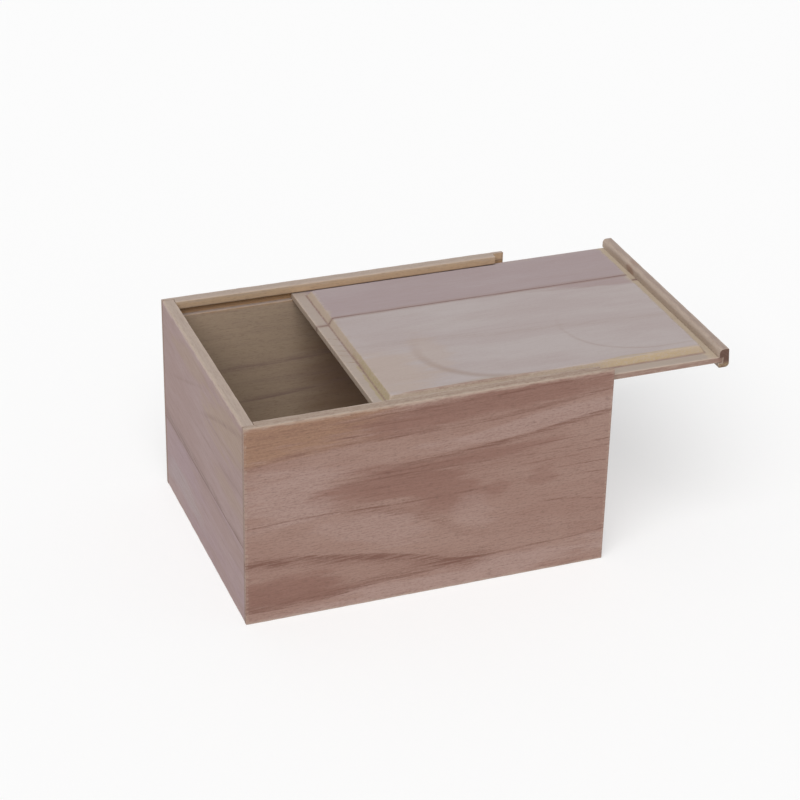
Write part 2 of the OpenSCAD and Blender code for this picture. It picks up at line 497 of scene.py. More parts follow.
def patch_group():
    """One patch of another colour, a wood tone, and in a few places painted shade and painted light: an
    ellipse on the board, sheared by a slope, with a ragged soft edge.
    """
    given, result = mark_group("tone_and_painted_light_patch", PATCH_LENGTHS, "Slope", "Strength", "Ragged")
    along, across, middle_along, middle_across, half_length, half_width, slope, strength, ragged = given
    run = along - middle_along
    rise = (across - middle_across - run * slope) / half_width
    run = run / half_length
    distance = (run * run + rise * rise).math("SQRT") + ragged
    (distance.eased(1.1, 0.5) * strength).to(result)


def arc_group():
    """One growth line that bends back like a U on its side: half an ellipse, then two straight arms.

    Its distance from a middle point, along divided by Reach before the point and 0 after it, and across
    divided by Half width, is 1 on the line. The upper arm fades out, and both arms end at To.
    """
    given, result = mark_group("grain_arc", ARC_LENGTHS, "Strength")
    along, across, middle_along, middle_across, reach, half_width, thickness, end, strength = given
    run = (along - middle_along).math("MINIMUM", 0.0) / reach
    rise = (across - middle_across) / half_width
    away = ((run * run + rise * rise).math("SQRT") - 1.0).math("ABSOLUTE") * half_width / thickness
    amount = away.eased(1.0, 0.0) * rise.eased(0.7, -0.75) * (end - along).eased(0.0, ARC_FADE)
    (amount * strength).to(result)


def wood_group():
    """Bare planed wood from the coordinates that each board carries."""
    inputs = {
        "Vector": ["Grain"],
        "Float": [
            "Ring", "Lines", "Worn", "Joint", *(layer + " mask" for layer in COVERING), "Ring width",
            "Ring depth", "Fibre depth", "Mottle depth", "Pore depth", "Wear",
        ],
        "Color": ["Face", *COVERING, "Streak", "Dark", "Pale"],
    }
    given, result = new_group("planed_wood", inputs, {"Color": ["Color"], "Float": ["Roughness", "Height"]})
    grain, worn = given["Grain"], given["Worn"]
    silk = grain.speckle(SILK, 3.0, 0.6)
    dashes = grain.speckle(DASHES, 3.0, 0.62)
    mottle = grain.speckle(MOTTLE, 2.0, 0.7)
    pores = grain.speckle(PORES, 1.0).eased(0.56, 0.69)
    along = put(grain.tree, "SeparateXYZ", {0: grain}, "X")
    turns = given["Ring"] / given["Ring width"]
    rings = put(grain.tree, "CombineXYZ", {0: along * RING_CHANGES, 1: turns})
    late = rings.speckle((1, 1, 1), 3.0, 0.6).eased(0.44, 0.68)

    colour = given["Face"]
    for layer in COVERING:
        colour = given[layer + " mask"].mixed(colour, given[layer])
    stain = given["Lines"] * dashes.eased(0.38, 0.64, 0.28, 1.32) + late * given["Ring depth"]
    strands = silk.eased(0.34, 0.7, -0.4, 1.0) * given["Fibre depth"]
    grit = mottle.eased(0.34, 0.68, -0.6, 1.0) * given["Mottle depth"]
    colour = stain.math("ADD", strands + grit, clamp=True).mixed(colour, given["Streak"])
    rubbed = worn + grain.speckle(RUBBING, 3.0, 0.65).eased(0.3, 0.7, -0.35, 0.35)
    rubbed = rubbed.eased(0.1, 0.95) * worn.eased(0.0, 0.3)
    colour = (rubbed * given["Wear"]).mixed(colour, given["Pale"])
    hairline = given["Joint"] * dashes.eased(0.35, 0.6, 0.55, 1.0)
    dark = (pores * given["Pore depth"]).math("ADD", hairline, clamp=True)
    dark.mixed(colour, given["Dark"]).to(result["Color"])

    rough = silk.eased(0.3, 0.75, 0.6, 0.74) - rubbed * 0.1 + given["End mask"] * 0.08
    rough.to(result["Roughness"])
    height = silk * 0.5 - pores * 0.5 + late * 0.3
    height.to(result["Height"])


def in_metres(labels, millimetres):
    """Inputs of these names, from lengths in millimetres."""
    return {label: length * MM for label, length in zip(labels, millimetres)}


def path_height(along, path):
    """Height of a smooth curve through places (along, across) in millimetres, at a distance along."""
    made = put(along.tree, "FloatCurve", {"Value": along / (LONGEST * MM)})
    mapping = made.socket.node.mapping
    points = mapping.curves[0].points
    while len(points) < len(path):
        points.new(0.5, 0.5)
    for point, place in zip(points, path):
        point.location = (place[0] / LONGEST, place[1] / HIGHEST)
    mapping.update()
    return made * (HIGHEST * MM)


def grain_figure(
    ring_width, rings, fibres, mottle, pores, wear=0.8, bump=0.5, lean=0.0, patches=None, lines=(), arcs=()
):
    """How the grain of a board is drawn, with lengths in millimetres from its low end and its foot or front.

    It gives the width of a ring, how strong each pattern is, the angle by which fibres lean, and three kinds
    of marks. A patch is its colour, its middle along and across, its half length and half width, its slope
    and its strength, under the layer that it lies on. A line is the places (along, across) that it goes
    through, how far it fades below and above, where it starts and ends, its strength, and over what length
    it fades in and out where that isn't 25. An arc is its middle along and across, its reach, half width
    and thickness, where it ends, and its strength.
    """
    strengths = {
        "Ring depth": rings, "Fibre depth": fibres, "Mottle depth": mottle, "Pore depth": pores, "Wear": wear,
    }
    return {
        "inputs": strengths | {"Ring width": ring_width * MM}, "bump": bump, "lean": lean,
        "patches": patches or {}, "lines": lines, "arcs": arcs,
    }


def new_material(name):
    """A new material, its tree of nodes and its shader."""
    material = bpy.data.materials.new(name)
    material.use_nodes = True
    return material, material.node_tree, material.node_tree.nodes["Principled BSDF"]


def board_wood(name, tones, face_axis, fibre_axis, figure):
    """Material of one board. face_axis points out of its outer face, and fibre_axis along its fibres."""
    material, tree, shader = new_material(name)
    grain = put(tree, "Attribute", output="Vector", attribute_name="grain")
    ring, worn, joint = (
        put(tree, "Attribute", output="Fac", attribute_name=label) for label in ("ring", "worn", "joint")
    )
    along, across = (put(tree, "SeparateXYZ", {0: grain}, axis) for axis in "XY")
    wander = grain.speckle(WANDER) - 0.5
    ragged = (grain.speckle(RAGGED, 4.0, 0.6) - 0.5) * 2.2
    grit = grain.speckle(GRIT, 2.0, 0.7) - 0.5
    frayed = ragged * 0.35 + grit * 3.6
    outlines = {"Edge": frayed, "End": frayed, "Inner": ragged * 0.3}

    layers = {label: (*colour, 1) for label, colour in tones.items()}
    clouds = grain.speckle(CLOUDS, 3.0, 0.6).eased(0.36, 0.64)
    layers["Face"] = clouds.mixed(layers["Face"], layers.pop("Tint"))
    for layer, rows in figure["patches"].items():
        for colour, *lengths, slope, strength in rows:
            given = {"Along": along, "Across": across, "Slope": slope, "Strength": strength}
            given["Ragged"] = outlines.get(layer, ragged)
            amount = use(tree, "tone_and_painted_light_patch", given | in_metres(PATCH_LENGTHS, lengths))
            if layer in ("Edge", "End"):
                amount = amount * grit.eased(-0.12, 0.1, 0.3, 1.0)
            layers[layer] = amount.mixed(layers[layer], (*colour, 1))
    astray = wander * ARCS_STRAY
    for *lengths, strength in figure["arcs"]:
        given = {"Along": along + astray, "Across": across - astray, "Strength": strength}
        amount = use(tree, "grain_arc", given | in_metres(ARC_LENGTHS, lengths))
        layers["Face"] = amount.mixed(layers["Face"], layers["Streak"])
    rough_across = across + ragged * LINES_STRAY
    lines = []
    for path, below, above, start, end, strength, *fade in figure["lines"]:
        given = {"Along": along, "Across": rough_across, "Strength": strength}
        given["Height"] = path_height(along, path)
        lengths = (below, above, start, end, *(fade or [LINE_FADE]))
        lines.append(use(tree, "grain_line", given | in_metres(LINE_LENGTHS, lengths)))

    facing = put(tree, "TexCoord", output="Normal")
    out, ahead = (
        put(tree, "VectorMath", {0: facing, 1: axis}, "Value", operation="DOT_PRODUCT")
        for axis in (face_axis, fibre_axis)
    )
    flatness = out.math("ABSOLUTE")
    given = {
        "Grain": put(tree, "Mapping", {"Vector": grain, "Rotation": (0, 0, -figure["lean"])}),
        "Ring": ring + wander * RINGS_STRAY, "Worn": worn, "Joint": joint,
        "End mask": ahead.math("ABSOLUTE").eased(0.5, 0.85), "Edge mask": flatness.eased(0.9, 0.6),
        "Side mask": flatness.eased(0.35, 0.15), "Inner mask": out.eased(0.1, -0.6),
    }
    if lines:
        given["Lines"] = sum(lines[1:], lines[0])
    wood = use(tree, "planed_wood", given | figure["inputs"] | layers).socket.node.outputs
    relief = {"Strength": figure["bump"], "Distance": RELIEF, "Height": Signal(wood["Height"])}
    Signal(wood["Color"]).to(shader.inputs["Base Color"])
    Signal(wood["Roughness"]).to(shader.inputs["Roughness"])
    put(tree, "Bump", relief).to(shader.inputs["Normal"])
    shader.inputs["IOR"].default_value = WOOD_IOR
    return material


# Sizes and colours that a user would change


def measure(name, description, millimetres):
    """A length that a user can change."""
    return bpy.props.FloatProperty(
        name=name, description=description, default=millimetres * MM, min=0, unit="LENGTH", precision=5
    )


def tone(name, description, colour):
    """A colour that a user can change."""
    return bpy.props.FloatVectorProperty(
        name=name, description=description, default=colour, size=3, min=0, max=1, subtype="COLOR"
    )


class WallSizes(bpy.types.PropertyGroup):
    """Sizes of the walls' joints and edges."""

    lip: measure("Lip", "Thickness of a long wall over the end of an end wall", 3.7)
    rebate: measure("Bottom rebate", "Height of the rebate that takes the bottom board", 5)
    groove_floor: measure("Groove floor", "Height of the lid groove's floor", 147.8)
    groove_roof: measure("Groove roof", "Height of the lid groove's roof", 153.5)
    groove_bed: measure("Groove bed", "Wood left behind the lid groove", 5.2)
    top_arris: measure("Top edge radius", "Radius of the sanded top edges", 0.8)
    arris: measure("Edge radius", "Radius of the other outer edges", 0.6)
    joint: measure("Joint edge radius", "Radius of edges that meet another board", 0.25)
    wear: measure("Wear", "How far a worn edge sinks at most", 0.25)
    pitch: measure("Mesh pitch", "Largest distance between points of a board's surface", 3)


class LidSizes(bpy.types.PropertyGroup):
    """Sizes of the raised lid and its pull strip."""

    edge_height: measure("Flat edge thickness", "Thickness of the thin edge in the groove", 4.7)
    edge_width: measure("Flat edge width", "Width of the thin edge, from its rim to the bevel", 9.3)
    bevel: measure("Bevel width", "Width of the bevel up to the raised middle", 3)
    wander: measure("Bevel wander", "How far the hand-cut bevel strays from its line", 0.35)
    corner: measure("Bevel corner", "Radius of the raised middle's eased corners", 1.6)
    seam: measure("Seam", "Depth of the hairline along the glued seam", 0.16)
    strip_top: measure("Strip top thickness", "Thickness of the pull strip at its top", 7.6)
    strip_round: measure("Strip radius", "Radius of the pull strip's two rounded edges", 3)
    slot_depth: measure("Slot depth", "Depth of the slot that takes the lid's end", 3.3)
    slot_floor: measure("Slot floor", "Height of the slot's floor", 147.9)
    slot_roof: measure("Slot roof", "Height of the slot's roof", 152.8)


class WoodTones(bpy.types.PropertyGroup):
    """Colours of the boards."""

    front: tone("Front", "Face of the front wall", (0.312, 0.197, 0.159))
    front_red: tone("Front red", "Redder stretches of the front wall", (0.238, 0.126, 0.097))
    front_rose: tone("Front rose", "Mild variation of the front wall", (0.285, 0.17, 0.135))
    front_tan: tone("Front tan", "Tan patch at the front wall's top left", (0.297, 0.171, 0.109))
    front_pale: tone("Front pale", "Paler stretches of the front wall", (0.352, 0.238, 0.203))
    front_edge: tone("Front top edge", "Sanded top edge of the front wall", (0.355, 0.272, 0.215))
    end: tone("End wall", "Face of the end wall's upper board", (0.335, 0.238, 0.226))
    end_warm: tone("End wall warm", "Warmer stretches of the end walls", (0.31, 0.212, 0.195))
    lower_end: tone("Lower board", "Face of the end wall's lower board", (0.32, 0.225, 0.234))
    back: tone("Back", "Outer face of the back wall", (0.4, 0.3, 0.245))
    back_rose: tone("Back rose", "Pinker stretches of the back wall", (0.365, 0.265, 0.222))
    inside: tone("Inside", "Inner faces of the walls", (0.42, 0.315, 0.225))
    # Painted shade: a darker brown that stands for the lid's shadow on the back wall's inner face
    inside_painted_shade: tone("Inside dark", "Darker stretches inside", (0.212, 0.12, 0.069))
    lip: tone("Lip", "Lip above the lid groove", (0.52, 0.365, 0.232))
    groove: tone("Groove", "Fresh cut wood in the lid groove", (0.42, 0.25, 0.125))
    lid_pale: tone("Lid front board", "Face of the lid's pale board", (0.418, 0.364, 0.355))
    lid_beige: tone("Lid beige", "Warmer stretches of the lid's pale board", (0.41, 0.333, 0.298))
    lid_grey: tone("Lid grey", "Greyer stretches of the lid's pale board", (0.392, 0.33, 0.322))
    lid_pink: tone("Lid rear board", "Face of the lid's pink board", (0.352, 0.285, 0.286))
    lid_rose: tone("Lid rose", "Redder stretches of the lid's pink board", (0.333, 0.26, 0.262))
    lid_blush: tone("Lid blush", "Pinker stretches of the lid's pale board", (0.335, 0.26, 0.256))
    tongue: tone("Flat edge", "Thin edge of the lid outside its bevels", (0.375, 0.31, 0.265))
    # Painted light: a paler tan that lifts the shade in the narrow channel between the right bevel and the
    # pull strip
    channel: tone("Channel", "Pale wood between bevel and pull strip", (0.44, 0.36, 0.272))
    end_tan: tone("End wall tan", "Tan stretches of the end wall's upper board", (0.33, 0.235, 0.185))
    bevel: tone("Bevels", "Cut bevels of the lid", (0.42, 0.333, 0.262))
    ochre: tone("Ochre", "Ochre stretches of the bevels", (0.415, 0.31, 0.178))
    # Colour of the upright rims, and a painted shade line along the right bevel's top
    rim: tone("Rim", "Upright rims of the lid", (0.265, 0.165, 0.13))
    strip: tone("Pull strip", "Face of the pull strip", (0.38, 0.305, 0.25))
    strip_top: tone("Pull strip top", "Top of the pull strip", (0.325, 0.25, 0.21))
    strip_red: tone("Pull strip red", "Redder stretches of the pull strip", (0.31, 0.2, 0.15))
    strip_end: tone("Pull strip end", "End grain of the pull strip", (0.1, 0.048, 0.031))
    bottom: tone("Bottom", "Faces of the bottom board", (0.4, 0.31, 0.235))
    top_edge: tone("Top edges", "Sanded top edges of the walls", (0.4, 0.32, 0.268))
    end_grain: tone("End grain", "Wood cut across the fibres", (0.285, 0.2, 0.16))
    red_line: tone("Red streaks", "Dark rings and fibres of the redder boards", (0.17, 0.08, 0.058))
    lid_line: tone("Lid streaks", "Rings and arcs of the lid's boards", (0.28, 0.2, 0.158))
    end_line: tone("End wall streaks", "Rings and fibres of the end wall", (0.21, 0.135, 0.12))
    # Olive brown of the bevels, and painted shade on the right bevel
    olive: tone("Olive", "Olive brown stretches of the bevels", (0.345, 0.28, 0.158))
    soft_line: tone("Soft streaks", "Rings and fibres of the paler boards", (0.26, 0.175, 0.15))
    seam: tone("Lid seam", "Soft line along the lid's glued seam", (0.2, 0.12, 0.105))
    dark: tone("Dark", "Pores and hairline joints", (0.11, 0.06, 0.042))
    # Rubbed wear on the edges, and painted light on the lower part of the pull strip's face beside the lid
    pale: tone("Worn edges", "Wood where an edge is rubbed pale", (0.46, 0.365, 0.295))


class StageSettings(bpy.types.PropertyGroup):
    """Camera, light and floor."""

    eye: bpy.props.FloatVectorProperty(
        name="Camera place", description="Where the camera stands", default=(-0.5283, -1.4151, 0.9291),
        subtype="TRANSLATION", unit="LENGTH", precision=4,
    )
    target: bpy.props.FloatVectorProperty(
        name="Camera target", description="Point in the middle of the picture", default=(0.0151, 0.0, 0.1014),
        subtype="TRANSLATION", unit="LENGTH", precision=4,
    )
    roll: bpy.props.FloatProperty(
        name="Camera roll", description="Turn of the camera about its line of sight",
        default=math.radians(1.253), subtype="ANGLE", unit="ROTATION",
    )
    lens: bpy.props.FloatProperty(
        name="Lens", description="Focal length on a 36 mm sensor", default=103.7, subtype="DISTANCE_CAMERA"
    )
    floor: tone("Floor", "Colour of the floor", (0.96, 0.96, 0.96))
    floor_glow: bpy.props.FloatProperty(
        name="Floor white", description="Share of plain white in the floor that the camera sees",
        default=0.45, subtype="FACTOR",
    )
    sky: bpy.props.FloatProperty(
        name="Sky", description="Strength of the even light from all round", default=0.45
    )
    window: bpy.props.FloatProperty(
        name="Window light", description="Strength of the broad light from the front left", default=2.15
    )
    window_spread: bpy.props.FloatProperty(
        name="Window spread", description="Width of the broad light as seen from the box",
        default=math.radians(50), subtype="ANGLE", unit="ROTATION",
    )
    window_from: bpy.props.FloatVectorProperty(
        name="Window side", description="Direction that the broad light comes from",
        default=(-0.45, -0.68, 1.0), subtype="DIRECTION",
    )


# Operators


def settings():
    """All settings of the box, as the scene holds them."""
    return bpy.context.scene.wooden_box


def board_tones(face, tint, inner=None, edge=None, side=None, end=None, line=None, dark=None):
    """Colours of a board, each a property or left at the box's usual one."""
    t = settings().tones
    given = {
        "Face": face, "Tint": tint, "Inner": inner or t.inside, "Edge": edge or t.top_edge,
        "Side": side or edge or t.top_edge, "End": end or t.end_grain, "Streak": line or t.soft_line,
        "Dark": dark or t.dark, "Pale": t.pale,
    }
    return {label: tuple(colour) for label, colour in given.items()}


def wall_outline(node, rebated, grooved, free_top):
    """Section of a wall board, from its outer face inwards and from its foot to its top."""
    s = settings().walls
    low, high = (corner.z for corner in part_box(node))
    foot_radius, foot_kind = (s.joint, -1) if low > 0 else (s.arris, 1)
    foot = [(0, low, foot_radius, foot_kind), (WALL_T, low, s.joint, -1)]
    if rebated:
        foot[1:] = [
            (s.lip, low, s.joint, -1), (s.lip, low + s.rebate, s.joint, 0),
            (WALL_T, low + s.rebate, s.joint, -1),
        ]
    groove = []
    if grooved:
        # The lip's lower edge gets a dark joint line that also stands in for the shade in the gap above the
        # lid: painted shade
        groove = [
            (WALL_T, s.groove_floor, GROOVE_EDGE, 0.6), (s.groove_bed, s.groove_floor, s.joint, 0),
            (s.groove_bed, s.groove_roof, s.joint, 0), (WALL_T, s.groove_roof, LIP_EDGE, -0.7),
        ]
    radius, kind = (s.top_arris, 1) if free_top else (s.joint, -1)
    return rounded_path(foot + groove + [(WALL_T, high, radius, kind), (0, high, radius, kind)], s.pitch)


def upright_board(
    name, node, slot_name, outline, run, side, ends, in_tree, material, shoulder=None, foot=0.0, body="box"
):
    """A board whose outline is carried along x (run 0) or y (run 1), with its outer face on side -1 or +1.

    ends gives the radius and kind of its end edges and a number that varies its wear. foot is the height
    from which its distances across the fibres are taken.
    """
    s = settings().walls
    low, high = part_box(node)
    radius, kind, seed = ends
    length = high[run] - low[run]
    points, *rest = carried_board(outline, length, radius, kind, s.wear, seed, s.pitch, shoulder)
    depth = 1 - run
    outer = (low if side < 0 else high)[depth]
    places = {run: points[:, 0], depth: outer - side * points[:, 1], 2: points[:, 2]}
    points = np.column_stack([places[axis] for axis in range(3)])
    axes = [(run, 1, low[run]), (2, 1, foot), (depth, -side, outer)]
    finished_piece(name, node, (points, *rest), axes, in_tree, material, body)


class WOODBOX_OT_long_walls(bpy.types.Operator):
    """Builds the front and back walls."""

    bl_idname = "woodbox.long_walls"
    bl_label = "Front and Back Walls"

    def execute(self, context):
        s, t = settings().walls, settings().tones
        patches = {
            "Face": [
                (t.front_tan, 20, 149, 95, 24, 0.05, 1.0),
                (t.front_red, 190, 150, 120, 12, 0.06, 0.9),
                (t.front_pale, 35, 100, 48, 32, 0.0, 0.85),
                (t.front_pale, 215, 128, 110, 7, 0.09, 0.8),
                (t.front_red, 108, 98, 60, 16, 0.03, 0.95),
                (t.front_red, 178, 108, 66, 6, 0.07, 0.85),
                (t.front_red, 150, 84, 42, 22, -0.35, 0.9),
                (t.front_pale, 172, 62, 20, 20, -0.3, 0.5),
                (t.front_pale, 95, 62, 50, 15, -0.25, 0.6),
                (t.front_red, 18, 22, 72, 15, -0.05, 1.0),
                (t.front_pale, 150, 6, 160, 13, 0.07, 1.0),
                (t.front_red, 225, 82, 14, 8, 0.0, 0.5),
                (t.front_red, 190, 80, 12, 7, 0.0, 0.5),
            ],
            "Edge": [(t.groove, 139, 147.8, 300, 3, 0.0, 1.0)],
            "Inner": [(t.lip, 139, 157, 300, 6, 0.0, 0.9)],
        }
        lines = [
            ([(0, 150), (278, 158)], 18, 8, -40, 330, 0.24, 60),
            ([(0, 100), (278, 104)], 16, 12, 60, 225, 0.24, 60),
            ([(0, 22), (278, 22)], 12, 12, -60, 95, 0.22, 60),
            ([(0, 126), (25, 131), (60, 133), (130, 134), (180, 135), (240, 140), (278, 145)],
             0.9, 4.5, -40, 320, 0.5),
            ([(0, 139), (70, 140), (95, 140), (278, 150)], 1.2, 1.2, 50, 115, 0.7),
            ([(0, 152), (140, 153.5), (278, 158)], 1.5, 1.5, 60, 260, 0.5),
            ([(0, 146), (110, 145.5), (150, 147), (278, 156)], 1.0, 1.0, 85, 190, 0.35),
            ([(0, 106), (100, 110), (140, 112.5), (215, 119), (245, 124), (278, 128.5)],
             4.5, 1.4, 85, 330, 0.72, 60),
            ([(0, 105), (60, 106.5), (140, 107), (278, 112)], 1.1, 1.1, 45, 175, 0.6),
            ([(0, 110), (60, 111), (120, 112), (278, 116)], 0.9, 1.2, 50, 140, 0.45),
            ([(0, 102), (70, 102.5), (150, 103), (220, 101), (278, 98)], 1.0, 1.4, 60, 240, 0.5),
            ([(0, 94), (120, 95), (278, 90)], 0.9, 1.0, 60, 135, 0.55),
            ([(0, 90), (118, 89.3), (278, 90)], 1.0, 0.9, 75, 135, 0.65),
            ([(0, 79), (20, 80), (60, 81), (100, 79.5), (175, 79.5), (278, 78)], 0.9, 1.2, -10, 195, 0.6),
            ([(0, 84), (80, 78), (125, 67.5), (150, 55), (170, 43), (278, 30)], 4, 11, 60, 190, 0.32, 40),
            ([(0, 51.5), (37, 50), (75, 44), (112, 37.5), (140, 30), (160, 24), (180, 21.8)],
             12, 1.6, -40, 195, 0.62),
            ([(0, 48), (37, 46.5), (75, 41), (112, 34.5), (140, 27), (160, 22), (180, 20)],
             5, 3.5, -40, 150, 0.4, 50),
            ([(0, 8.8), (60, 10.3), (100, 15), (140, 17.5), (160, 20), (180, 21.8)], 0.6, 12, -40, 200, 0.62),
            ([(0, 21), (170, 21.6), (220, 23.8), (262, 25.5), (278, 27)], 0.9, 1.4, 150, 330, 0.6),
            ([(0, 100), (250, 103), (278, 104)], 0.8, 0.8, 228, 330, 0.75, 15),
            ([(0, 100), (250, 98), (278, 99)], 0.8, 0.8, 240, 330, 0.7, 15),
            ([(0, 86), (250, 86.5), (278, 86)], 0.8, 0.8, 232, 330, 0.7, 15),
            ([(0, 93), (250, 94), (278, 93.5)], 0.7, 0.9, 205, 262, 0.6, 15),
            ([(0, 79), (250, 78.5), (278, 77)], 0.7, 0.9, 222, 330, 0.55, 15),
            ([(0, 108), (220, 108.5), (278, 111)], 0.8, 0.8, 190, 265, 0.55, 15),
            ([(0, 62), (240, 59), (278, 52.5)], 1.0, 1.5, 215, 330, 0.5),
            ([(0, 2), (105, 2.5), (278, 5)], 1.2, 1.2, 90, 150, 0.3),
        ]
        grain = grain_figure(7, 0.09, 0.17, 0.19, 0.3, 0.5, lean=0.02, patches=patches, lines=lines)
        tones = board_tones(t.front, t.front_rose, edge=t.front_edge, line=t.red_line)
        front = board_wood("front_wood", tones, MINUS_Y, X, grain)

        patches = {
            "Inner": [
                # Painted shadow of the lid, in a darker brown, on the right part of the back wall's inner
                # face
                (t.inside_painted_shade, 178, 88, 82, 76, 0.0, 0.7),
                (t.groove, 139, 150.5, 300, 5, 0.0, 1.0),
                (t.lip, 139, 158, 300, 5.5, 0.0, 1.0),
            ],
            "Edge": [(t.groove, 139, 147.8, 300, 3, 0.0, 1.0)],
        }
        lines = [
            ([(0, 93), (47, 94), (134, 97.5), (278, 101)], 1.0, 6.0, 0, 300, 0.55, 60),
            ([(0, 62), (81, 66), (150, 71.5), (278, 78)], 1.0, 5.0, 20, 260, 0.5, 60),
            ([(0, 80), (278, 86)], 14, 10, 60, 300, 0.2, 60),
        ]
        grain = grain_figure(7, 0.16, 0.13, 0.1, 0.18, 0.5, patches=patches, lines=lines)
        back = board_wood("back_wood", board_tones(t.back, t.back_rose), Y, X, grain)

        walls = [
            ("front", -1, sawn((30.7, -0.0577), (21.3, 0.0518), 0.16, 50, 115), front),
            ("back", 1, sawn((-20, 0.0), (30, 0.02)), back),
        ]
        for name, side, in_tree, material in walls:
            node = name + "_panel"
            outline = wall_outline(node, True, True, True)
            inner = outline[0][:, 0] > s.lip / 2
            ends = np.where(inner, s.joint, s.arris), np.where(inner, -1, 0.6), 3 + side
            upright_board(name + "_board", node, name + "_wood", outline, 0, side, ends, in_tree, material,
                          (WALL_T, s.lip))
        return {"FINISHED"}


class WOODBOX_OT_end_walls(bpy.types.Operator):
    """Builds the two boards of the closed end wall and the low wall at the open end."""

    bl_idname = "woodbox.end_walls"
    bl_label = "End Walls"

    def execute(self, context):
        s, t = settings().walls, settings().tones
        strengths = (0.13, 0.08, 0.14, 0.6, 0.5, 0.06)
        lower = grain_figure(5, 0.13, *strengths, patches={
            "Face": [
                (t.end_warm, 50, 50, 95, 11, 0.05, 0.8),
                (t.lid_pink, 150, 22, 58, 12, 0.0, 0.6),
                (t.end_warm, 40, 8, 70, 7, 0.0, 0.6),
            ],
        }, lines=[
            ([(0, 57), (204, 61)], 4, 4, -40, 250, 0.35),
            ([(0, 40), (84, 36), (204, 38)], 2, 5, -30, 150, 0.2),
        ])
        upper = grain_figure(5, 0.13, *strengths, patches={
            "Face": [
                (t.end_tan, 34, 137, 62, 24, -0.15, 1.0),
                (t.end_tan, 139, 145, 60, 10, -0.1, 0.7),
                (t.end_tan, 29, 88, 50, 9, 0.05, 0.6),
                (t.end_warm, 164, 78, 80, 14, 0.0, 0.8),
            ],
            "Inner": [(t.lip, 100, 157, 300, 8, 0.0, 1.0)],
            "Edge": [(t.groove, 100, 147.8, 300, 3, 0.0, 1.0)],
        }, lines=[
            ([(0, 60), (84, 62), (204, 65)], 4, 9, -60, 260, 0.75, 60),
            ([(0, 103), (54, 99), (104, 100), (204, 96)], 2, 4, -20, 150, 0.45),
            ([(0, 123), (104, 118), (204, 112)], 1.5, 3, -20, 110, 0.4),
            ([(0, 150), (54, 135), (94, 120), (204, 80)], 2, 5, -20, 110, 0.5),
            ([(0, 160), (94, 140), (144, 122), (204, 100)], 1.5, 3, 84, 184, 0.35),
        ])
        right = grain_figure(8, 0.24, *strengths)
        boards = [
            ("end_upper_board", "left_end_upper_board", "end_wood", -1, (False, True, True),
             (t.end, t.end_warm), t.seam, upper, sawn((-160, 0.05), (25, 0.0))),
            ("end_lower_board", "left_end_lower_board", "end_wood_dark", -1, (True, False, False),
             (t.lower_end, t.end), t.seam, lower, sawn((-90, -0.02), (30, 0.0))),
            ("right_end_board", "right_end_panel", "end_wood", 1, (True, False, True),
             (t.end_warm, t.end), t.dark, right, sawn((60, 0.05), (40, 0.03))),
        ]
        for name, node, slot_name, side, joints, faces, dark, grain, in_tree in boards:
            tones = board_tones(*faces, line=t.end_line, dark=dark)
            material = board_wood(name + "_wood", tones, (side, 0.0, 0.0), Y, grain)
            ends = s.joint, -1, 7 + side
            outline = wall_outline(node, *joints)
            upright_board(name, node, slot_name, outline, 1, side, ends, in_tree, material)
        return {"FINISHED"}


class WOODBOX_OT_bottom_board(bpy.types.Operator):
    """Builds the thin bottom board."""

    bl_idname = "woodbox.bottom_board"
    bl_label = "Bottom Board"

    def execute(self, context):
        s, t = settings().walls, settings().tones
        low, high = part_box("bottom_board")
        corners = [(low.y, low.z), (high.y, low.z), (high.y, high.z), (low.y, high.z)]
        outline = rounded_path([(*corner, s.joint, 0) for corner in corners], s.pitch)
        surface = carried_board(outline, high.x - low.x, s.joint, 0, s.wear, 5, s.pitch)
        tones = board_tones(t.bottom, t.inside, inner=t.bottom)
        material = board_wood("bottom_wood", tones, MINUS_Z, X, grain_figure(12, 0.16, 0.09, 0.05, 0.12))
        axes = [(0, 1, low.x), (1, 1, low.y), (2, 1, low.z)]
        in_tree = sawn((90, 0.06), (40, 0.04))
        finished_piece("bottom_panel", "bottom_board", surface, axes, in_tree, material)
        return {"FINISHED"}


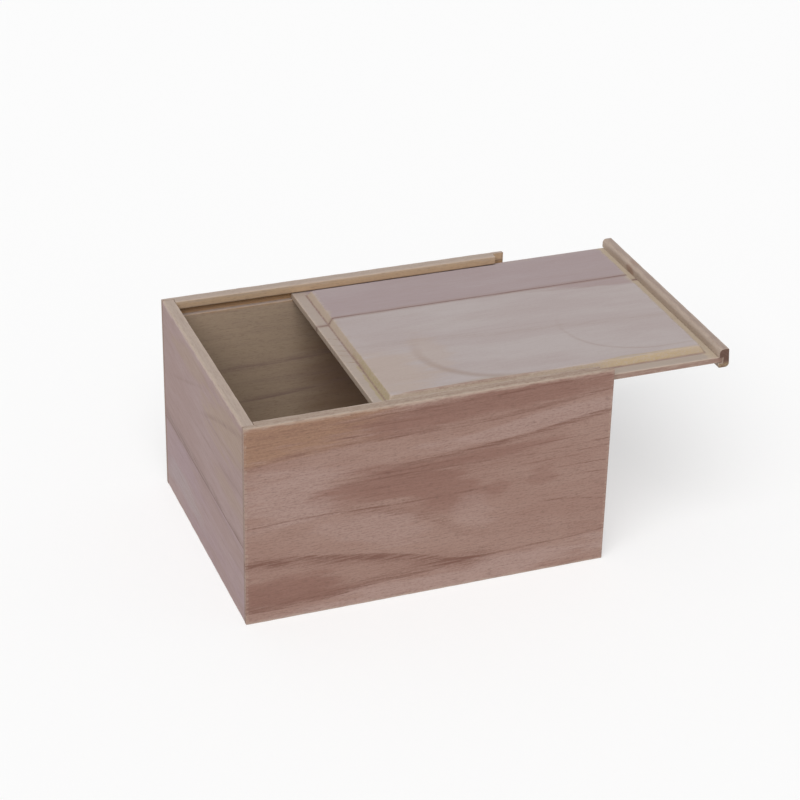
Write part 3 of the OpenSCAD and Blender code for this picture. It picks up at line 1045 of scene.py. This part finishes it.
class WOODBOX_OT_lid_boards(bpy.types.Operator):
    """Builds the two glued boards of the raised lid."""

    bl_idname = "woodbox.lid_boards"
    bl_label = "Lid Boards"

    def execute(self, context):
        s, pitch, t = settings().lid, settings().walls.pitch, settings().tones
        corner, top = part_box("lid_front_board")
        thick = top.z - corner.z
        inner = s.edge_width + s.bevel
        profile = rounded_path([
            (inner + PAST_BEVEL, thick, 0, 0), (inner, thick, BEVEL_TOP, 0.35),
            (s.edge_width, s.edge_height, BEVEL_FOOT, -0.8), (0, s.edge_height, RIM_TOP, 0.8),
            (0, 0, RIM_FOOT, 0.6), (inner, 0, 0, 0),
        ], pitch, closed=False)
        bevels = {
            "End": [
                # Painted shade: the first two End patches darken the right bevel, which faces away from the
                # light, with olive brown and a dark line at the field's edge
                (t.olive, 256, 70, 9, 130, 0.0, 1.0),
                (t.rim, 254.6, 100, 1.3, 600, 0.0, 1.0),
                (t.olive, 10.5, 40, 9, 62, 0.0, 1.0),
                (t.rim, 9.6, 72, 0.9, 22, 0.0, 0.9),
            ],
            "Edge": [
                (t.ochre, 215, 10, 62, 6, 0.0, 1.0),
                (t.rim, 72, 12.2, 75, 1.1, 0.0, 0.9),
            ],
        }
        flat_edge = [
            (t.tongue, 3, 100, 11, 400, 0.0, 0.9),
            (t.tongue, 133, 3, 600, 11, 0.0, 1.0),
            (t.tongue, 264, 100, 11, 400, 0.0, 1.0),
            # Painted light: lifts the shade in the channel beside the pull strip
            (t.channel, 261, 95, 7, 400, 0.0, 1.0),
            (t.rim, 72, 12.6, 75, 0.8, 0.0, 0.8),
        ]
        strengths = (9, 0.07, 0.035, 0.06, 0.06, 0.45, 0.3)
        pink = grain_figure(*strengths, patches=bevels | {
            "Face": [
                (t.lid_rose, 60, 150, 90, 26, 0.0, 0.8),
                (t.lid_rose, 210, 170, 60, 14, 0.0, 0.6),
                *flat_edge,
            ],
        }, lines=[
            ([(0, 140), (267, 140)], 3, 3.5, -40, 300, 0.35),
            ([(0, 139), (267, 139)], 1.3, 1.3, -2, 11, 1.0, 2),
        ])
        pale = grain_figure(*strengths, patches=bevels | {
            "Face": [
                (t.lid_beige, 22, 48, 34, 48, 0.0, 1.0),
                (t.lid_blush, 232, 137, 125, 12, -0.07, 1.0),
                (t.lid_grey, 130, 77, 200, 14, -0.06, 0.75),
                (t.lid_grey, 45, 118, 40, 22, 0.0, 0.6),
                (t.ochre, 212, 12.6, 60, 2.2, 0.0, 0.75),
                (t.lid_beige, 62, 62, 16, 34, 0.0, 0.6),
                *flat_edge,
                (t.olive, 8.2, 32, 2.2, 46, 0.0, 0.7),
            ],
        }, lines=[
            ([(12, 88), (82, 83), (120, 76.6), (155, 75.4), (200, 71.6), (267, 68)],
             7.0, 6.0, -40, 300, 0.16),
            ([(0, 84), (82, 84), (175, 83), (267, 82)], 1.0, 2.0, 60, 220, 0.12),
            ([(0, 135), (140, 135.5), (225, 127.5), (267, 127)], 1.5, 4, 150, 300, 0.2),
            ([(0, 137), (267, 137)], 2.5, 3, -40, 300, 0.3),
            *(
                ([(0, height), (60, height - 24)], 0.8, 1.0, -2, 9, 1.0, 2)
                for height in (118, 107, 98, 90, 79)
            ),
            ([(0, 137.6), (267, 137.6)], 1.3, 1.3, -2, 11, 1.0, 2),
        ], arcs=[(228, 68, 60, 47, 2.0, 290, 0.3), (120, 66, 68, 54, 5.0, 150, 0.5)])
        boards = [
            ("lid_front_wood", "lid_front_board", "lid_wood_pale", (True, True, True, False),
             (t.lid_pale, t.lid_grey, t.tongue), pale, sawn((68, 0.0), (60, 0.0))),
            ("lid_rear_wood", "lid_rear_board", "lid_wood_pink", (True, True, False, True),
             (t.lid_pink, t.lid_rose, t.lid_rose), pink, sawn((60, 0.0), (40, 0.02))),
        ]
        for name, node, slot_name, rims, faces, grain, in_tree in boards:
            low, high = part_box(node)
            surface = raised_board(low, high, rims, profile, s, pitch)
            tones = board_tones(*faces, t.bevel, t.rim, t.bevel, t.lid_line, t.seam)
            material = board_wood(slot_name, tones, Z, X, grain)
            axes = [(0, 1, low.x), (1, 1, corner.y), (2, -1, high.z)]
            finished_piece(name, node, surface, axes, in_tree, material, "lid", LID_SHARP_ANGLE)
        return {"FINISHED"}


class WOODBOX_OT_pull_strip(bpy.types.Operator):
    """Builds the pull strip across the end of the lid."""

    bl_idname = "woodbox.pull_strip"
    bl_label = "Pull Strip"

    def execute(self, context):
        s, w, t = settings().lid, settings().walls, settings().tones
        low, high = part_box("lid_pull_strip")
        outline = rounded_path([
            (0, low.z, STRIP_FOOT, 1), (high.x - low.x, low.z, s.strip_round, 0.3),
            (s.strip_top, high.z, STRIP_TOP, 1), (0, high.z, s.strip_round, 0.5),
            (0, s.slot_roof, SLOT_EDGE, 0), (s.slot_depth, s.slot_roof, w.joint, 0),
            (s.slot_depth, s.slot_floor, w.joint, 0), (0, s.slot_floor, SLOT_EDGE, 0),
        ], w.pitch / 2)
        corner_red = (t.strip_red, 153, 11, 9, 5, 0.2, 0.9)
        grain = grain_figure(2.5, 0.16, 0.08, 0.06, 0.1, 0.45, patches={
            # Painted light: the first Inner patch lifts the shade on the lower part of the strip's face
            # beside the lid
            "Inner": [(t.pale, 102, 8, 300, 7, 0.0, 0.8), corner_red],
            "Side": [corner_red],
            "Edge": [(t.strip_red, 102, 15.2, 400, 0.7, 0.0, 0.8)],
            "Face": [(t.strip_red, 102, 13, 240, 5, 0.0, 0.7)],
            "End": [(t.ochre, 0, 2, 9, 2.4, 0.0, 0.6)],
        })
        tones = board_tones(t.strip, t.strip_red, t.strip, t.strip, t.strip_top, t.strip_end)
        material = board_wood("strip_wood", tones, X, Y, grain)
        in_tree = sawn((-30, 0.0), (26, 0.01))
        ends = STRIP_END, 0.4, 9
        upright_board("pull_strip", "lid_pull_strip", "strip_wood", outline, 1, -1, ends, in_tree, material,
                      foot=low.z, body="lid")
        return {"FINISHED"}


class WOODBOX_OT_stage(bpy.types.Operator):
    """Builds the floor, the light and the camera."""

    bl_idname = "woodbox.stage"
    bl_label = "Stage"

    def execute(self, context):
        s = settings().stage
        scene = bpy.context.scene
        scene.view_settings.view_transform = "Standard"
        span = np.linspace(-FLOOR_REACH, FLOOR_REACH, FLOOR_POINTS)
        across, along = np.meshgrid(span, span)
        points = np.stack([across, along, np.zeros_like(across)], axis=-1).reshape(-1, 3)
        mesh = bpy.data.meshes.new("floor")
        mesh.from_pydata(points, [], grid_faces(FLOOR_POINTS, FLOOR_POINTS, False).tolist())
        material, tree, paper = new_material("floor_paper")
        paper.inputs["Base Color"].default_value = (*s.floor, 1)
        paper.inputs["Roughness"].default_value = 0.9
        glow = put(tree, "Emission", {"Color": (1, 1, 1, 1), "Strength": 1.0})
        share = self.seen(tree) * s.floor_glow
        mixed = put(tree, "MixShader", {0: share, 1: Signal(paper.outputs[0]), 2: glow})
        mixed.to(tree.nodes["Material Output"].inputs["Surface"])
        mesh.materials.append(material)
        floor = self.in_scene("floor", mesh)

        world = bpy.data.worlds.new("studio")
        scene.world = world
        world.use_nodes = True
        background = world.node_tree.nodes["Background"]
        seen = {"Value": self.seen(world.node_tree), "To Min": s.sky, "To Max": 1.0}
        put(world.node_tree, "MapRange", seen, "Result").to(background.inputs["Strength"])
        background.inputs["Color"].default_value = (1, 1, 1, 1)

        window = bpy.data.lights.new("window", "SUN")
        window.energy, window.angle = s.window, s.window_spread
        light = self.in_scene("window", window)
        light.location = s.window_from
        light.rotation_euler = (-Vector(s.window_from)).to_track_quat("-Z", "Y").to_euler()

        camera = bpy.data.cameras.new("camera")
        camera.lens, camera.sensor_width = s.lens, SENSOR_WIDTH
        camera.clip_start, camera.clip_end = NEAREST, FARTHEST
        aim = (Vector(s.target) - Vector(s.eye)).to_track_quat("-Z", "Y").to_matrix()
        turned = aim @ Matrix.Rotation(s.roll, 3, "Z")
        scene.camera = self.in_scene("camera", camera)
        scene.camera.matrix_world = Matrix.Translation(Vector(s.eye)) @ turned.to_4x4()
        return {"FINISHED"}

    @staticmethod
    def in_scene(name, data):
        """Puts an object with this data into the scene."""
        made = bpy.data.objects.new(name, data)
        bpy.context.scene.collection.objects.link(made)
        return made

    @staticmethod
    def seen(tree):
        """1 for what the camera sees, plainly, mirrored or through glass, and 0 for light that bounces."""
        camera, glossy, through = (
            put(tree, "LightPath", output=f"Is {kind} Ray") for kind in ("Camera", "Glossy", "Transmission")
        )
        return camera.math("MAXIMUM", glossy.math("MAXIMUM", through))


class WoodenBox(bpy.types.PropertyGroup):
    """All settings of the box."""

    walls: bpy.props.PointerProperty(type=WallSizes, name="Walls", description="Sizes of the walls")
    lid: bpy.props.PointerProperty(type=LidSizes, name="Lid", description="Sizes of the lid")
    tones: bpy.props.PointerProperty(type=WoodTones, name="Tones", description="Colours of the wood")
    stage: bpy.props.PointerProperty(type=StageSettings, name="Stage", description="Camera, light and floor")


OPERATORS = (
    WOODBOX_OT_long_walls, WOODBOX_OT_end_walls, WOODBOX_OT_bottom_board, WOODBOX_OT_lid_boards,
    WOODBOX_OT_pull_strip, WOODBOX_OT_stage,
)


class WOODBOX_PT_panel(bpy.types.Panel):
    """Lists the operators and settings of the box."""

    bl_label = "Sliding Lid Box"
    bl_idname = "WOODBOX_PT_panel"
    bl_space_type = "VIEW_3D"
    bl_region_type = "UI"
    bl_category = "Wooden Box"

    def draw(self, context):
        for operator in OPERATORS:
            self.layout.operator(operator.bl_idname)
        sizes = context.scene.wooden_box
        for group in (sizes.walls, sizes.lid, sizes.tones, sizes.stage):
            box = self.layout.box()
            for key in group.__annotations__:
                box.prop(group, key)


CLASSES = (WallSizes, LidSizes, WoodTones, StageSettings, WoodenBox, *OPERATORS, WOODBOX_PT_panel)


def register():
    """Makes the box's settings and operators known to Blender."""
    for cls in CLASSES:
        bpy.utils.register_class(cls)
    bpy.types.Scene.wooden_box = bpy.props.PointerProperty(type=WoodenBox)


def unregister():
    """Takes them out again."""
    del bpy.types.Scene.wooden_box
    for cls in reversed(CLASSES):
        bpy.utils.unregister_class(cls)


def main():
    """Registers the add-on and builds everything."""
    register()
    for group in (line_group, patch_group, arc_group, wood_group):
        group()
    bpy.ops.woodbox.long_walls()
    bpy.ops.woodbox.end_walls()
    bpy.ops.woodbox.bottom_board()
    bpy.ops.woodbox.lid_boards()
    bpy.ops.woodbox.pull_strip()
    bpy.ops.woodbox.stage()


if __name__ == "__main__":
    main()
